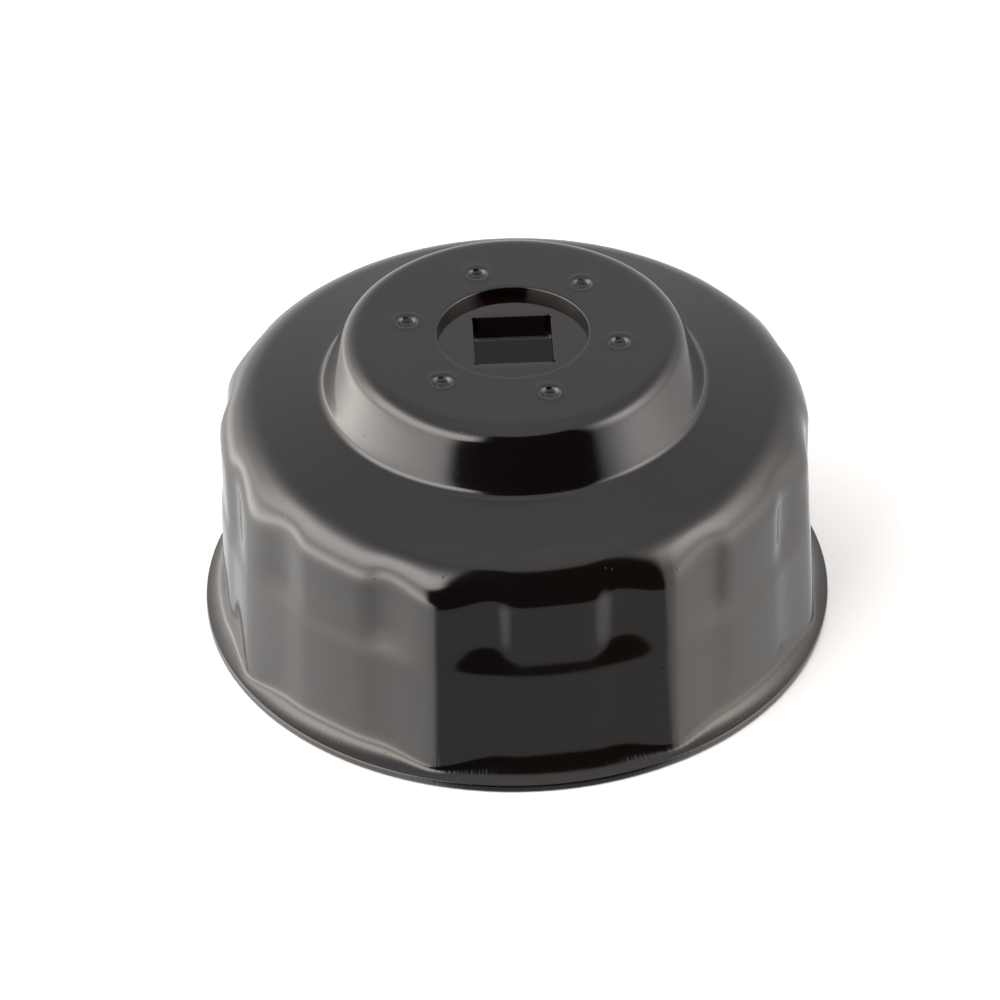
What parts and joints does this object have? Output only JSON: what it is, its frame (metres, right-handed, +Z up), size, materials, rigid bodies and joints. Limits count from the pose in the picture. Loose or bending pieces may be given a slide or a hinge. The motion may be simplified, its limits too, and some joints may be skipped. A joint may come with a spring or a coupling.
{
  "type": "oil filter wrench",
  "caption": "Cap-type oil filter wrench: a fluted pressed-steel cup with a lipped rim and a stepped boss, and a welded drive plate with a square hole for a ratchet.",
  "frame": {"origin": "centre of the rim's circle, on the plane that the open end stands on", "axes": "+Z up the cup's axis, from the open end to the boss; X and Y along the sides of the drive square"},
  "size_m": [0.08, 0.08, 0.0406],
  "materials": {
    "shell_coat": "glossy near-black coat over pressed sheet steel, with fine draw streaks on the flare",
    "plate_coat": "the same glossy near-black coat, thicker at the edges and corners",
    "weld_steel": "bare fused steel, hidden between the shell and the plate"
  },
  "bodies": {
    "root": {"cap_shell": "shell_coat", "drive_plate": "plate_coat", "weld_nugget_1": "weld_steel", "weld_nugget_2": "weld_steel", "weld_nugget_3": "weld_steel", "weld_nugget_4": "weld_steel", "weld_nugget_5": "weld_steel", "weld_nugget_6": "weld_steel"}
  },
  "joints": []
}
